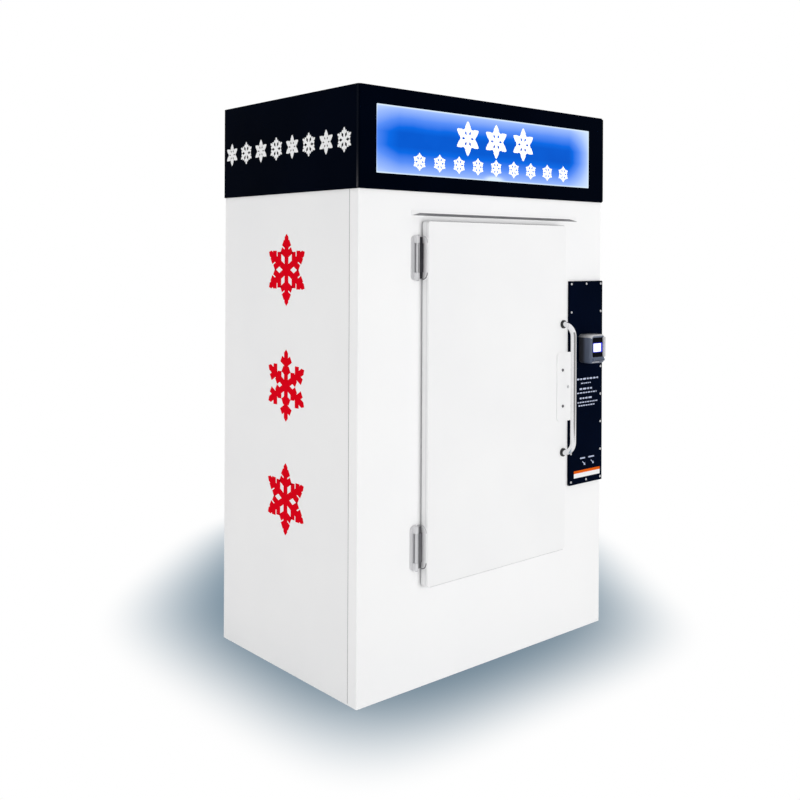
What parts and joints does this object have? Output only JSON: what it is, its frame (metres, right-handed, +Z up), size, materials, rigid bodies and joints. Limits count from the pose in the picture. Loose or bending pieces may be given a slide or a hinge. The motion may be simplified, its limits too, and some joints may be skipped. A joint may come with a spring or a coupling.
{
  "type": "ice merchandiser freezer",
  "caption": "Upright insulated ice vending freezer: hinged solid door with bar handle and electric latch, control column with card reader, and a lit sign canopy over the cooling unit.",
  "frame": {"origin": "on the floor, at the middle of the cabinet's base, which is the underside of the centre skid rail", "axes": "+Z up, -Y out through the door towards the person who uses it, +X towards the control column, on the right as seen from the front"},
  "size_m": [1.262, 0.942, 2.03],
  "materials": {
    "galvanised_sheet": "bright zinc-coated sheet",
    "white_paint": "smooth white powder coat",
    "foam": "raw poured foam, sealed in",
    "liner_sheet": "white coated sheet",
    "grey_plastic": "light grey moulded plastic",
    "lamp_lens": "clear white lens",
    "satin_steel": "satin",
    "chrome": "polished",
    "grey_rubber": "matt magnetic gasket",
    "board_green": "lacquered circuit board",
    "navy_cover": "near-black navy, satin",
    "reader_plastic": "fine-grained moulded plastic",
    "display_glass": "glossy display window",
    "black_paint": "near-black navy, satin",
    "sign_acrylic": "translucent blue sheet, lit from behind",
    "black_enamel": "black enamel",
    "fan_plastic": "black moulded plastic",
    "fin_aluminium": "bare fins and tube",
    "copper": null
  },
  "bodies": {
    "cabinet": {"skid_rail_left": "galvanised_sheet", "skid_rail_centre": "galvanised_sheet", "skid_rail_right": "galvanised_sheet", "bottom_pan": "galvanised_sheet", "top_deck": "galvanised_sheet", "floor_grate": "galvanised_sheet", "latch_case": "galvanised_sheet", "control_box": "galvanised_sheet", "drain_pan": "galvanised_sheet", "condensing_unit_tray": "galvanised_sheet", "condenser_fan_shroud": "galvanised_sheet", "side_panel_left": "white_paint", "side_panel_right": "white_paint", "back_panel": "white_paint", "front_frame": "white_paint", "drip_rail": "white_paint", "foam_insulation": "foam", "inner_liner": "liner_sheet", "sign_light_box": "liner_sheet", "evaporator_housing": "liner_sheet", "door_throat_frame": "grey_plastic", "interior_lamp": "lamp_lens", "led_strip_lower": "lamp_lens", "led_strip_upper": "lamp_lens", "hinge_leaf_upper": "satin_steel", "hinge_leaf_lower": "satin_steel", "hinge_pin_upper": "satin_steel", "hinge_pin_lower": "satin_steel", "control_board": "board_green", "control_cover": "navy_cover", "reader_housing": "reader_plastic", "reader_display": "display_glass", "canopy_front_panel": "black_paint", "canopy_side_left": "black_paint", "canopy_side_right": "black_paint", "canopy_top_cover": "black_paint", "rear_louvre_panel": "black_paint", "sign_panel": "sign_acrylic", "power_inlet_gland": "black_enamel", "evaporator_fan_motor": "black_enamel", "compressor": "black_enamel", "condenser_fan_motor": "black_enamel", "evaporator_coil": "fin_aluminium", "condenser_coil": "fin_aluminium", "suction_line": "copper", "liquid_line": "copper"},
    "door": {"door_outer_pan": "white_paint", "door_foam": "foam", "door_inner_liner": "liner_sheet", "door_gasket": "grey_rubber", "latch_guard_plate": "white_paint", "striker_stud": "satin_steel", "door_handle": "chrome", "handle_flange_upper": "black_enamel", "handle_flange_lower": "black_enamel", "hinge_strap_upper": "chrome", "hinge_strap_lower": "chrome"},
    "bolt": {"latch_bolt": "satin_steel"},
    "condenser_fan": {"condenser_fan_blade": "fan_plastic"},
    "evaporator_fan": {"evaporator_fan_blade": "fan_plastic"}
  },
  "joints": [
    {"name": "door_hinge", "type": "hinge", "parent": "cabinet", "child": "door", "pos_m": [-0.378, -0.422, 0.97], "axis": [0, 0, -1], "range_deg": [0, 120]},
    {"name": "latch_bolt_slide", "type": "slide", "parent": "cabinet", "child": "bolt", "axis": [-1, 0, 0], "range_m": [0, 0.009]},
    {"name": "condenser_fan_spin", "type": "hinge", "parent": "cabinet", "child": "condenser_fan", "pos_m": [0.182, 0.2677, 1.8456], "axis": [0, 1, 0], "continuous": true},
    {"name": "evaporator_fan_spin", "type": "hinge", "parent": "cabinet", "child": "evaporator_fan", "pos_m": [0, 0.098, 1.5367], "axis": [0, 1, 0], "continuous": true}
  ]
}
